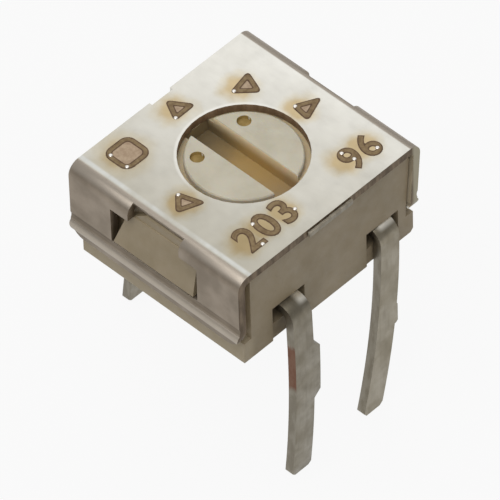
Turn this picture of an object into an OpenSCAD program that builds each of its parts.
// Square single-turn trimmer potentiometer: a moulded housing under a bent sheet-metal cover, a slotted
// rotor with a wiper on a printed ceramic element, and three flat strip leads.
// Z is up, X runs across the two skirts, and the origin is where the rotor's axis meets the seating face.

/* [Cover] */
// Width over the two skirts
cover_w = 4.9; // [4.8:0.02:5.3]
// Length of the sheet between its two cut edges
cover_d = 4.4; // [4.3:0.02:4.8]
// Height of the top face above the seating face
cover_top = 2.45; // [2.4:0.01:2.7]
// Thickness of the sheet
sheet_t = 0.18; // [0.14:0.01:0.2]
// Outside radius of the two bends
bend_r = 0.27; // [0.24:0.01:0.32]
// Height of the skirts' lower edges
skirt_z = 0.63; // [0.55:0.01:0.68]
// Radius of the skirts' lower corners
skirt_corner_r = 0.34; // [0.2:0.01:0.4]
// Inward lean of the +X skirt, in degrees
skirt_lean = 4.5; // [0:0.5:5]
// Height of the middle of the pressed bead
bead_z = 0.87; // [0.84:0.01:0.92]
// Outside radius of the bead
bead_r = 0.16; // [0.12:0.01:0.18]
// How far the bead stands out of the skirt
bead_out = 0.055; // [0.03:0.005:0.08]
// Depth of the shallow groove above the bead
groove_depth = 0.022; // [0.01:0.002:0.03]
// Half width of the window in each skirt
window_half = 1.12; // [1.0:0.02:1.2]
// Height of the window
window_h = 0.9; // [0.8:0.02:0.95]
// Distance from the top face down to the window's upper edge
window_drop = 0.4; // [0.36:0.01:0.5]
// Half width of the relief that runs from the window up through the bend
relief_half = 0.66; // [0.5:0.02:0.8]
// Angle around the bend, from the top face, at which the relief ends
relief_turn = 22; // [15:1:40]
// Width of the sheared carrier nib on each cut edge
nib_w = 1.16; // [0.8:0.02:1.4]
// How far the nib stands out of the cut edge
nib_out = 0.05; // [0.03:0.01:0.08]
// Thickness of the nib, measured up from the sheet's lower face
nib_t = 0.11; // [0.08:0.01:0.13]
// Width of the nick in the back edge
nick_w = 0.55; // [0.4:0.01:0.7]
// Depth of the nick
nick_depth = 0.07; // [0.04:0.01:0.1]

/* [Housing] */
// How far each cut edge of the cover stands past the housing
edge_overhang = 0.09; // [0.06:0.01:0.12]
// Clearance between the housing and the inside of the cover
cover_gap = 0.02; // [0.01:0.005:0.04]
// Width of the upright rebates in the two -X corners
rebate_w = 0.2; // [0.1:0.01:0.24]
// Depth of the rebates behind the front and back faces
rebate_depth = 0.3; // [0.1:0.01:0.32]
// Height of the base under the skirts
base_h = 0.56; // [0.4:0.01:0.6]
// How far the base stands out past the housing's +X face
ledge_out = 0.08; // [0.02:0.01:0.12]
// Chamfer along the ledge's lower edge
ledge_chamfer = 0.1; // [0.04:0.01:0.14]
// Chamfer around the rest of the seating face
foot_chamfer = 0.03; // [0.02:0.01:0.1]
// Chamfer along the top of the front and back faces
brow_chamfer = 0.1; // [0.06:0.01:0.14]
// Chamfer along the top of the two side faces, inside the cover's bends
shoulder_chamfer = 0.16; // [0.06:0.01:0.2]
// Thickness of the wall around the element
wall = 0.3; // [0.26:0.01:0.34]
// Distance of the snap boss's front edge from the middle
boss_front = 0.98; // [0.9:0.01:1.08]
// Distance of the boss's back edge from the middle, at the boss's foot
boss_back = 1.09; // [0.94:0.01:1.1]
// Distance of the boss's back edge from the middle, at its knee
boss_knee = 0.86; // [0.8:0.01:0.9]
// Distance of the boss's back edge from the middle, at the housing's top
boss_tip = 0.37; // [0.3:0.01:0.6]
// Distance from the window's upper edge down to the knee
knee_drop = 0.15; // [0.1:0.01:0.3]
// Clearance between the boss and the window's upper and lower edges
boss_gap = 0.02; // [0.01:0.005:0.04]
// How far the snap boss stands out at its lower edge
boss_out = 0.18; // [0.14:0.01:0.19]
// How far the snap boss stands out at its upper edge
boss_lead_in = 0.02; // [0.01:0.01:0.08]
// Chamfer along the housing's top edge behind the boss
crest_chamfer = 0.03; // [0.03:0.01:0.1]
// Depth of the hollow beside the boss's back edge
hollow_depth = 0.15; // [0.05:0.01:0.18]
// Distance of the hollow's far end from the middle
hollow_end = 1.3; // [1.2:0.02:1.5]

/* [Rotor] */
// Diameter of the head in the cover's hole
head_d = 2.28; // [2.1:0.02:2.34]
// Radial gap around the head
head_gap = 0.12; // [0.08:0.01:0.14]
// How far the head lies below the cover's top face
head_drop = 0.04; // [0.02:0.01:0.06]
// Radius of the head's upper edge
head_edge_r = 0.03; // [0.02:0.01:0.05]
// Thickness of the flange that the cover keeps in
flange_t = 0.36; // [0.32:0.01:0.4]
// Radial running gap of the flange in the bore
flange_gap = 0.05; // [0.03:0.005:0.08]
// Diameter of the neck that carries the sealing ring
neck_d = 2.4; // [2.36:0.02:2.5]
// Radial gap of the neck in the housing's floor
neck_gap = 0.07; // [0.05:0.01:0.09]
// How much smaller the hub's radius is than the neck's
hub_step = 0.18; // [0.16:0.01:0.22]
// Width of the driver slot
slot_w = 0.62; // [0.5:0.02:0.7]
// Depth of the driver slot
slot_depth = 0.46; // [0.4:0.01:0.48]
// Diameter of the two position dots
dot_d = 0.28; // [0.2:0.01:0.32]
// Depth of the position dots
dot_depth = 0.09; // [0.05:0.01:0.12]
// Distance of each dot from the slot's middle line
dot_x = 0.63; // [0.56:0.01:0.68]
// Distance of the dots from the rotor's middle, toward the wiper
dot_y = 0.61; // [0.5:0.01:0.66]
// Turning angle from mid-travel to each stop
travel = 105; // [95:1:115]
// Angle that the stop lug takes up
lug_angle = 44; // [36:1:50]
// Angle kept free between the lug and the stop at the end of travel
stop_margin = 1; // [0.5:0.5:2]
// Radial gap between the lug and the housing, and between the hub and the stop
stop_gap = 0.03; // [0.02:0.01:0.05]

/* [Sealing ring] */
// Diameter of the ring's round section
seal_d = 0.38; // [0.34:0.01:0.4]
// Gap between the ring and the faces around it
seal_gap = 0.01; // [0.01:0.005:0.02]

/* [Wiper] */
// Thickness of the spring sheet
wiper_t = 0.05; // [0.04:0.01:0.06]
// Height of the spring plate above the printed track
wiper_drop = 0.3; // [0.26:0.01:0.34]
// Width of one contact finger
finger_w = 0.09; // [0.07:0.01:0.1]
// Spacing of the contact fingers
finger_pitch = 0.13; // [0.12:0.005:0.14]
// Number of fingers on the track
finger_count = 3; // [2:1:3]
// Running gap under the contacts
contact_gap = 0.01; // [0.005:0.005:0.02]
// Diameter of the rotor's stake through the plate
stake_d = 0.3; // [0.2:0.02:0.36]

/* [Element] */
// Thickness of the ceramic plate
plate_t = 0.38; // [0.34:0.01:0.42]
// Gap between the ceramic plate and the housing's wall
plate_gap = 0.04; // [0.03:0.01:0.06]
// Thickness of the printed films
film_t = 0.02; // [0.015:0.005:0.025]
// Middle radius of the resistive track
track_r = 0.91; // [0.86:0.01:0.95]
// Width of the resistive track
track_w = 0.42; // [0.36:0.01:0.46]
// Diameter of the centre pad
pad_d = 0.9; // [0.7:0.02:0.94]
// Diameter of the plated through hole
via_d = 0.22; // [0.16:0.02:0.26]
// Width of the back lead's printed pad, and least width of a front lead's
pad_w = 0.54; // [0.5:0.01:0.56]
// Margin between the end conductors and the plate's side edges
film_rim = 0.14; // [0.08:0.01:0.2]
// Length of the printed pads, from the plate's edge inward
pad_len = 0.34; // [0.3:0.01:0.38]
// Angle of the ring that each end conductor overlaps beyond the track
end_angle = 30; // [20:1:40]
// Thickness of the potting under the element
seal_t = 0.1; // [0.08:0.01:0.14]
// How far the potting lies back from the seating face
seal_recess = 0.04; // [0.02:0.01:0.08]
// Height of the potting's plugs in the lead slots, above the seating face
plug_z = 0.45; // [0.3:0.01:0.5]
// How far the plugs lie back from the housing's outer faces
plug_recess = 0.04; // [0.02:0.01:0.16]

/* [Leads] */
// Distance between the two front leads
lead_pitch = 2.54; // [2.5:0.01:2.6]
// How far the front pair stands off the middle toward +X, as a share of the room beside its pads
pair_share = 0.6; // [0:0.05:0.8]
// Width of the strip
lead_w = 0.5; // [0.46:0.01:0.56]
// Thickness of the strip
lead_t = 0.2; // [0.18:0.01:0.22]
// Outside radius of the knee
knee_r = 0.34; // [0.3:0.01:0.36]
// Depth of the lead tips below the seating face
lead_drop = 3.83; // [3.4:0.01:4.2]
// Chamfer at the lead tips
tip_chamfer = 0.07; // [0.04:0.01:0.1]
// Thickness of the solder between strip and pad
solder_t = 0.12; // [0.1:0.01:0.14]
// How far the solder reaches past a lead's inner end
solder_toe = 0.08; // [0.05:0.01:0.1]
// Clearance above a lead in its slot
slot_gap = 0.02; // [0.01:0.005:0.04]
// Clearance at each side of a lead in its slot
slot_side = 0.18; // [0.02:0.01:0.22]
// How far the first front lead stands out of the front face
lead_out_1 = 0.36; // [0.2:0.01:0.7]
// How far the second front lead stands out of the front face
lead_out_2 = 0.2; // [0.2:0.01:0.7]
// How far the back lead stands out of the back face
lead_out_3 = 0.57; // [0.4:0.01:0.7]
// Outward lean of the first front lead below its knee, in degrees
splay_1 = 2; // [-2:0.1:4]
// Outward lean of the second front lead, in degrees
splay_2 = 0; // [-1:0.1:2]
// Outward lean of the back lead, in degrees
splay_3 = 7.4; // [0:0.1:10]
// Straight length of each leg below its knee
leg_straight = 0.4; // [0.2:0.05:0.6]
// Radius along which the first front lead's leg curves back inward
bow_r_1 = 28; // [20:1:90]
// Radius of the second front lead's sideways curve
sway_r_2 = 17.5; // [12:0.5:60]
// Height at which the sideways curve starts
sway_z = 0.5; // [0.2:0.05:0.7]
// Sheared tie-bar stub on the first front lead
stub_1 = 0.16; // [0.08:0.01:0.2]
// Sheared tie-bar stub on the second front lead
stub_2 = 0.05; // [0.03:0.01:0.12]
// Depth below the seating face of the first lead's stub
stub_drop_1 = 0.46; // [0.08:0.02:0.8]
// Depth below the seating face of the second lead's stub
stub_drop_2 = 1.35; // [0.7:0.05:1.6]
// Length of the first lead's stub
stub_len_1 = 1.24; // [0.8:0.02:1.4]
// Length of the second lead's stub
stub_len_2 = 0.45; // [0.3:0.05:0.6]

/* [Hidden] */
$fn = 48;
// Overshoot of every cutting body
over = 0.5;
tiny = 0.01;

// Heights, from the seating face up to the printed films
plate_z = seal_recess + seal_t + tiny + film_t;
plate_top = plate_z + plate_t;
film_top = plate_top + film_t;
lead_z = film_top + solder_t;
lead_top = lead_z + lead_t;
pocket_top = film_top + slot_gap;
wiper_z = film_top + wiper_drop;
hub_z = wiper_z + wiper_t;

// Heights, from the top face down to the housing's floor
sheet_z = cover_top - sheet_t;
housing_top = sheet_z - cover_gap;
head_top = cover_top - head_drop;
flange_z = housing_top - flange_t;
floor_z = flange_z - 2 * seal_gap - seal_d;
window_top = cover_top - window_drop;
window_z = window_top - window_h;
boss_z = window_z + boss_gap;
boss_top = window_top - boss_gap;
bend_z = cover_top - bend_r;
shoulder_z = housing_top - shoulder_chamfer;

// Half widths and radii
skirt_x = cover_w / 2;
skirt_in = skirt_x - sheet_t;
bend_x = skirt_x - bend_r;
edge_y = cover_d / 2;
housing_x = skirt_in - cover_gap;
housing_y = edge_y - edge_overhang;
base_x = housing_x + ledge_out;
plate_x = housing_x - wall - plate_gap;
plate_y = housing_y - wall - plate_gap;
hole_r = head_d / 2 + head_gap;
neck_r = neck_d / 2;
bore_r = neck_r + seal_d + 2 * seal_gap;
flange_r = bore_r - flange_gap;
chamber_r = neck_r + neck_gap;
hub_r = neck_r - hub_step;
lug_r = chamber_r - stop_gap;
stop_r = hub_r + stop_gap;
stop_half = 180 - travel - lug_angle / 2 - stop_margin;

// Back edge of the snap boss in Y and Z, from its foot up to the housing's top
boss_edge = [[boss_back, boss_z], [boss_knee, window_top - knee_drop], [boss_tip, housing_top]];

// How far the middle of the front pair lies from the rotor's axis
lead_shift = pair_share * (plate_x - (lead_pitch + pad_w) / 2);

// Inner ends of the leads, pads and lead slots, measured from the middle
pad_in = plate_y - pad_len;
lead_in = pad_in + solder_toe;
lead_slot_in = pad_in - slot_gap;
lead_slot_w = lead_w + 2 * slot_side;
// Radius at which a curve counts as straight
straight_r = 4000;
// Number of straight lengths that make up a curved leg
leg_steps = 14;

// Flat wedge between two angles, as a cutter for rings
module wedge(a0, a1, r = 4) {
    steps = ceil((a1 - a0) / 30);
    angles = [for (i = [0 : steps]) a0 + (a1 - a0) * i / steps];
    polygon(concat([[0, 0]], [for (a = angles) r * [cos(a), sin(a)]]));
}

// Flat ring between two radii
module ring(r_out, r_in) {
    difference() {
        circle(r_out);
        circle(r_in);
    }
}

// Extrudes a flat shape drawn in X and Z along Y, centred
module along_y(length) {
    rotate([90, 0, 0]) linear_extrude(height = length, center = true) children();
}

// Extrudes a flat shape drawn in Y and Z along X, centred
module along_x(length) {
    rotate([90, 0, 90]) linear_extrude(height = length, center = true) children();
}

// Upright skirt with its pressed bead and the groove above it, drawn from the middle of the bend
module skirt_section() {
    translate([-bend_x, -bend_z]) difference() {
        union() {
            translate([skirt_in, skirt_z]) square([sheet_t, bend_z - skirt_z]);
            translate([skirt_x + bead_out - bead_r, bead_z]) circle(bead_r);
        }
        translate([0, skirt_z]) square([skirt_in, bend_z - skirt_z]);
        translate([skirt_in + bead_out - bead_r / 2, bead_z]) circle(bead_r / 2);
        translate([skirt_x + bead_r - groove_depth, bead_z + 1.5 * bead_r]) circle(bead_r);
    }
}

// Cross-section of the +X bend and of its skirt, which leans inward
module side_section(lean) {
    translate([bend_x, bend_z]) {
        intersection() {
            ring(bend_r, bend_r - sheet_t);
            wedge(-lean, 90);
        }
        rotate(-lean) skirt_section();
    }
}

// Cross-section of the bent sheet
module cover_section() {
    translate([-bend_x, sheet_z]) square([2 * bend_x, sheet_t]);
    side_section(skirt_lean);
    mirror([1, 0]) side_section(0);
}

// Front outline of the sheet, with the skirts' round lower corners
module cover_outline() {
    corner_y = edge_y - skirt_corner_r;
    corner_z = skirt_z + skirt_corner_r;
    translate([-edge_y, corner_z]) square([2 * edge_y, cover_top - corner_z]);
    translate([-corner_y, skirt_z]) square([2 * corner_y, cover_top - skirt_z]);
    for (side = [-1, 1]) translate([side * corner_y, corner_z]) circle(skirt_corner_r);
}

// Cutter that opens the -X bend above the window, up to a radial cut face
module relief() {
    cut = 2 * bend_r * [-sin(relief_turn), cos(relief_turn)];
    outside = cut[0] - 2 * bend_r;
    low = window_z - bend_z;
    along_y(2 * relief_half) translate([-bend_x, bend_z])
        polygon([[0, 0], cut, [outside, cut[1]], [outside, low], [0, low]]);
}

module cover() {
    color([0.80, 0.78, 0.74]) {
        difference() {
            intersection() {
                along_y(cover_d) cover_section();
                along_x(cover_w + 1) cover_outline();
            }
            cylinder(r = hole_r, h = cover_top + over);
            translate([-cover_w, -window_half, window_z]) cube([2 * cover_w, 2 * window_half, window_h]);
            relief();
            mirror([1, 0, 0]) relief();
            translate([-nick_w / 2, edge_y - nick_depth, sheet_z - over]) cube([nick_w, over, 2 * over]);
        }
        translate([-nib_w / 2, -edge_y - nib_out, sheet_z]) cube([nib_w, nib_out + sheet_t, nib_t]);
    }
}

// Side outline of the housing, chamfered at the foot and at the brow
module block_side() {
    polygon([[-housing_y, foot_chamfer], [foot_chamfer - housing_y, 0], [housing_y - foot_chamfer, 0],
             [housing_y, foot_chamfer], [housing_y, housing_top - brow_chamfer],
             [housing_y - brow_chamfer, housing_top], [brow_chamfer - housing_y, housing_top],
             [-housing_y, housing_top - brow_chamfer]]);
}

// Place in X, at height z, of the housing's +X face, which leans with its skirt
function lean_x(z) = housing_x - (bend_z - z) * tan(skirt_lean);

// Front outline of the housing, with a ledge of the base under the leaning face
module block_front() {
    polygon([[-housing_x, foot_chamfer], [foot_chamfer - housing_x, 0], [base_x - ledge_chamfer, 0],
             [base_x, ledge_chamfer], [base_x, base_h], [lean_x(base_h), base_h],
             [lean_x(shoulder_z), shoulder_z], [housing_x - shoulder_chamfer, housing_top],
             [shoulder_chamfer - housing_x, housing_top], [-housing_x, shoulder_z]]);
}

// Solid block of the housing, rebated behind the -X cut edges and hollowed beside the bosses
module housing_block() {
    difference() {
        intersection() {
            along_x(2 * cover_w) block_side();
            along_y(cover_w) block_front();
        }
        for (side = [-1, 1])
            translate([-housing_x - over, side * (housing_y - rebate_depth + over) - over, base_h])
                cube([rebate_w + over, 2 * over, cover_top]);
        for (side = [-1, 1])
            translate([side * (housing_x - hollow_depth + over), 0, 0]) along_x(2 * over)
                polygon(concat(boss_edge, [[hollow_end, housing_top + over], [hollow_end, boss_z]]));
    }
}

// Snap boss in a skirt's window, ramped so that the skirt slides over it, with the block above it
module boss() {
    intersection() {
        along_y(cover_d) polygon([[bore_r, boss_z], [housing_x + boss_out, boss_z],
                                  [housing_x + boss_lead_in, boss_top], [housing_x, boss_top],
                                  [housing_x, housing_top - crest_chamfer],
                                  [housing_x - crest_chamfer, housing_top], [bore_r, housing_top]]);
        along_x(2 * cover_w)
            polygon(concat(boss_edge, [[-boss_front, housing_top], [-boss_front, boss_z]]));
    }
}

// Places a child at one lead: 1 and 2 at the front, 3 at the back
module at_lead(i) {
    if (i == 3) rotate(180) children();
    else translate([lead_shift + (i == 1 ? -1 : 1) * lead_pitch / 2, 0, 0]) children();
}

// Open slot through the wall, through which a lead leaves
module lead_slot() {
    translate([-lead_slot_w / 2, -housing_y - over, -over])
        cube([lead_slot_w, housing_y + over - lead_slot_in, lead_top + slot_gap + over]);
}

module housing() {
    color([0.76, 0.71, 0.58]) {
        difference() {
            union() {
                housing_block();
                boss();
                mirror([1, 0, 0]) boss();
            }
            translate([-plate_x - plate_gap, -plate_y - plate_gap, -over])
                cube([2 * (plate_x + plate_gap), 2 * (plate_y + plate_gap), pocket_top + over]);
            cylinder(r = chamber_r, h = floor_z + tiny);
            translate([0, 0, floor_z]) cylinder(r = bore_r, h = cover_top);
            for (i = [1 : 3]) at_lead(i) lead_slot();
        }
        // Stop for the rotor's lug
        translate([0, 0, hub_z]) linear_extrude(height = floor_z - hub_z) intersection() {
            ring(chamber_r + tiny, stop_r);
            rotate(-90) wedge(-stop_half, stop_half);
        }
    }
}

module rotor() {
    color([0.75, 0.71, 0.61]) difference() {
        union() {
            translate([0, 0, flange_z]) cylinder(r = flange_r, h = flange_t);
            translate([0, 0, flange_z]) cylinder(d = head_d, h = head_top - head_edge_r - flange_z);
            translate([0, 0, head_top - head_edge_r])
                cylinder(r1 = head_d / 2, r2 = head_d / 2 - head_edge_r, h = head_edge_r);
            translate([0, 0, floor_z]) cylinder(r = neck_r, h = flange_z - floor_z);
            translate([0, 0, hub_z]) cylinder(r = hub_r, h = floor_z - hub_z);
            translate([0, 0, wiper_z - wiper_t]) cylinder(d = stake_d, h = hub_z - wiper_z + wiper_t);
            translate([0, 0, hub_z]) linear_extrude(height = floor_z - hub_z) intersection() {
                circle(lug_r);
                rotate(90) wedge(-lug_angle / 2, lug_angle / 2);
            }
        }
        translate([0, 0, head_top - slot_depth + over])
            cube([slot_w, 2 * hole_r, 2 * over], center = true);
        for (side = [-1, 1]) translate([side * dot_x, dot_y, head_top - dot_depth])
            cylinder(d = dot_d, h = over);
    }
}

module rotor_seal() {
    color([0.62, 0.28, 0.18]) translate([0, 0, floor_z + seal_gap + seal_d / 2])
        rotate_extrude() translate([neck_r + seal_gap + seal_d / 2, 0]) circle(d = seal_d);
}

// One spring arm, bent down from the plate to a contact at x = 0
module finger(y, run) {
    slope = atan2(wiper_z - film_top - contact_gap, run);
    translate([-run, y, wiper_z]) rotate([0, slope, 0]) translate([0, -finger_w / 2, 0])
        cube([run / cos(slope), finger_w, wiper_t]);
}

module wiper() {
    first = track_r - finger_pitch * (finger_count - 1) / 2;
    last = track_r + finger_pitch * (finger_count - 1) / 2;
    color([0.80, 0.66, 0.36]) {
        translate([0, 0, wiper_z]) linear_extrude(height = wiper_t) difference() {
            union() {
                circle(hub_r);
                translate([-track_w - finger_w, 0]) square([2 * finger_w, last + finger_w / 2]);
            }
            circle(d = stake_d);
        }
        for (i = [0 : finger_count - 1]) finger(first + i * finger_pitch, track_w);
        for (side = [-1, 1]) finger(side * (stake_d + pad_d) / 4, track_w);
    }
}

module substrate() {
    color([0.93, 0.92, 0.88]) translate([0, 0, plate_z]) difference() {
        translate([-plate_x, -plate_y, 0]) cube([2 * plate_x, 2 * plate_y, plate_t]);
        translate([0, 0, -over]) cylinder(d = via_d, h = plate_t + 2 * over);
    }
}

module resistive_track() {
    color([0.20, 0.19, 0.19]) translate([0, 0, plate_top]) linear_extrude(height = film_t)
        intersection() {
            ring(track_r + track_w / 2, track_r - track_w / 2);
            rotate(90) wedge(-travel, travel);
        }
}

// Film from one end of the track to the pad under a front lead; side -1 is the first lead
module end_conductor(side) {
    outer = track_r + track_w / 2;
    strip_x = track_r * cos(travel - 90 + end_angle);
    strip_top = outer * sin(travel - 90 + end_angle / 2);
    color([0.72, 0.72, 0.70]) translate([0, 0, plate_top]) linear_extrude(height = film_t)
        mirror([side < 0 ? 1 : 0, 0]) {
            intersection() {
                ring(outer, outer - track_w);
                rotate(90 - travel) wedge(-end_angle, 0);
            }
            translate([strip_x, -plate_y])
                square([plate_x - film_rim - strip_x, plate_y - strip_top]);
        }
}

// Centre pad, plated hole, back strip, edge wrap and edge pad, in one film
module collector_conductor() {
    color([0.72, 0.72, 0.70]) {
        translate([0, 0, plate_top]) cylinder(d = pad_d, h = film_t);
        translate([0, 0, plate_z - film_t]) cylinder(d = via_d, h = plate_t + 2 * film_t);
        translate([-pad_w / 2, -via_d, plate_z - film_t]) cube([pad_w, via_d + plate_y + film_t, film_t]);
        translate([-pad_w / 2, plate_y, plate_z - film_t]) cube([pad_w, film_t, plate_t + 2 * film_t]);
        translate([-pad_w / 2, pad_in, plate_top]) cube([pad_w, plate_y + film_t - pad_in, film_t]);
    }
}

// How far a line that curves along a radius has turned aside, toward the negative side, after a length
function aside(length, r) = length < 0 ? 0 : sqrt(r * r - length * length) - r;

// Side view of a lead, drawn outward and up from the part's middle: a flat run, a knee and a leg
module lead_side(lead_out, splay, bow_r) {
    reach = housing_y + lead_out;
    down = [leg_straight / 2, for (k = [0 : leg_steps]) leg_straight + k * (lead_drop + lead_top) / leg_steps];
    up = [for (k = [len(down) - 1 : -1 : 0]) down[k]];
    translate([lead_in, lead_z]) square([reach - knee_r - lead_in, lead_t]);
    translate([reach - knee_r, lead_top - knee_r]) {
        intersection() {
            ring(knee_r, knee_r - lead_t);
            wedge(splay, 90);
        }
        rotate(splay) {
            translate([knee_r - lead_t, -leg_straight]) square([lead_t, leg_straight]);
            polygon(concat([for (d = down) [knee_r - lead_t + aside(d - leg_straight, bow_r), -d]],
                           [for (d = up) [knee_r + aside(d - leg_straight, bow_r), -d]]));
        }
    }
}

// Sideways place of a strip's middle line at height z, when it curves toward -X below sway_z
function sway_x(z, r) = aside(sway_z - z, r);

// Front view of a lead's strip, with chamfered tip corners
module strip_front(sway_r) {
    half = lead_w / 2;
    step = (sway_z + lead_drop - tip_chamfer) / leg_steps;
    down = [lead_top + over, for (k = [0 : leg_steps]) sway_z - k * step];
    up = [for (k = [len(down) - 1 : -1 : 0]) down[k]];
    tip = sway_x(-lead_drop, sway_r);
    polygon(concat([for (z = down) [half + sway_x(z, sway_r), z]],
                   [[tip + half - tip_chamfer, -lead_drop], [tip + tip_chamfer - half, -lead_drop]],
                   [for (z = up) [sway_x(z, sway_r) - half, z]]));
}

// Front view of the stub that is left of the sheared tie bar
module stub_front(sway_r, stub, drop, length) {
    edge = lead_w / 2;
    end = -drop - length;
    translate([sway_x(-drop - length / 2, sway_r), 0])
        polygon([[0, stub - drop], [edge, stub - drop], [edge + stub, -drop],
                 [edge + stub, end], [edge, end - stub], [0, end - stub]]);
}

module lead(lead_out, splay, bow_r = straight_r) {
    color([0.66, 0.64, 0.60]) intersection() {
        rotate([0, 0, 180]) along_x(4 * lead_w) lead_side(lead_out, splay, bow_r);
        along_y(2 * cover_w) children();
    }
}

module lead_1() {
    at_lead(1) lead(lead_out_1, splay_1, bow_r_1) {
        union() {
            strip_front(straight_r);
            stub_front(straight_r, stub_1, stub_drop_1, stub_len_1);
        }
    }
}

module lead_2() {
    at_lead(2) lead(lead_out_2, splay_2) {
        union() {
            strip_front(sway_r_2);
            stub_front(sway_r_2, stub_2, stub_drop_2, stub_len_2);
        }
    }
}

module lead_3() {
    at_lead(3) lead(lead_out_3, splay_3) strip_front(straight_r);
}

// Solder between the flat run of a lead and its pad, with a toe at the lead's inner end
module solder() {
    color([0.70, 0.70, 0.68]) rotate([0, 0, 180]) along_x(lead_w)
        polygon([[pad_in, film_top], [plate_y, film_top], [plate_y, lead_z], [lead_in, lead_z],
                 [lead_in, lead_top - lead_t / 3]]);
}

// Potting under the element, with a plug in each lead slot
module base_seal() {
    plug_y = housing_y - plug_recess;
    fit = tiny / 2;
    inner_x = plate_x + plate_gap - fit;
    inner_y = plate_y + plate_gap - fit;
    color([0.30, 0.29, 0.27]) {
        translate([-inner_x, -inner_y, seal_recess]) cube([2 * inner_x, 2 * inner_y, seal_t]);
        for (i = [1 : 3]) at_lead(i) translate([fit - lead_slot_w / 2, -plug_y, seal_recess])
            cube([lead_slot_w - 2 * fit, plug_y - plate_y - plate_gap / 2, plug_z - seal_recess]);
    }
}

cover();
housing();
rotor();
rotor_seal();
wiper();
substrate();
resistive_track();
collector_conductor();
end_conductor(-1);  // end_conductor_1
end_conductor(1);  // end_conductor_2
lead_1();
lead_2();
lead_3();
at_lead(1) solder();  // solder_1
at_lead(2) solder();  // solder_2
at_lead(3) solder();  // solder_3
base_seal();
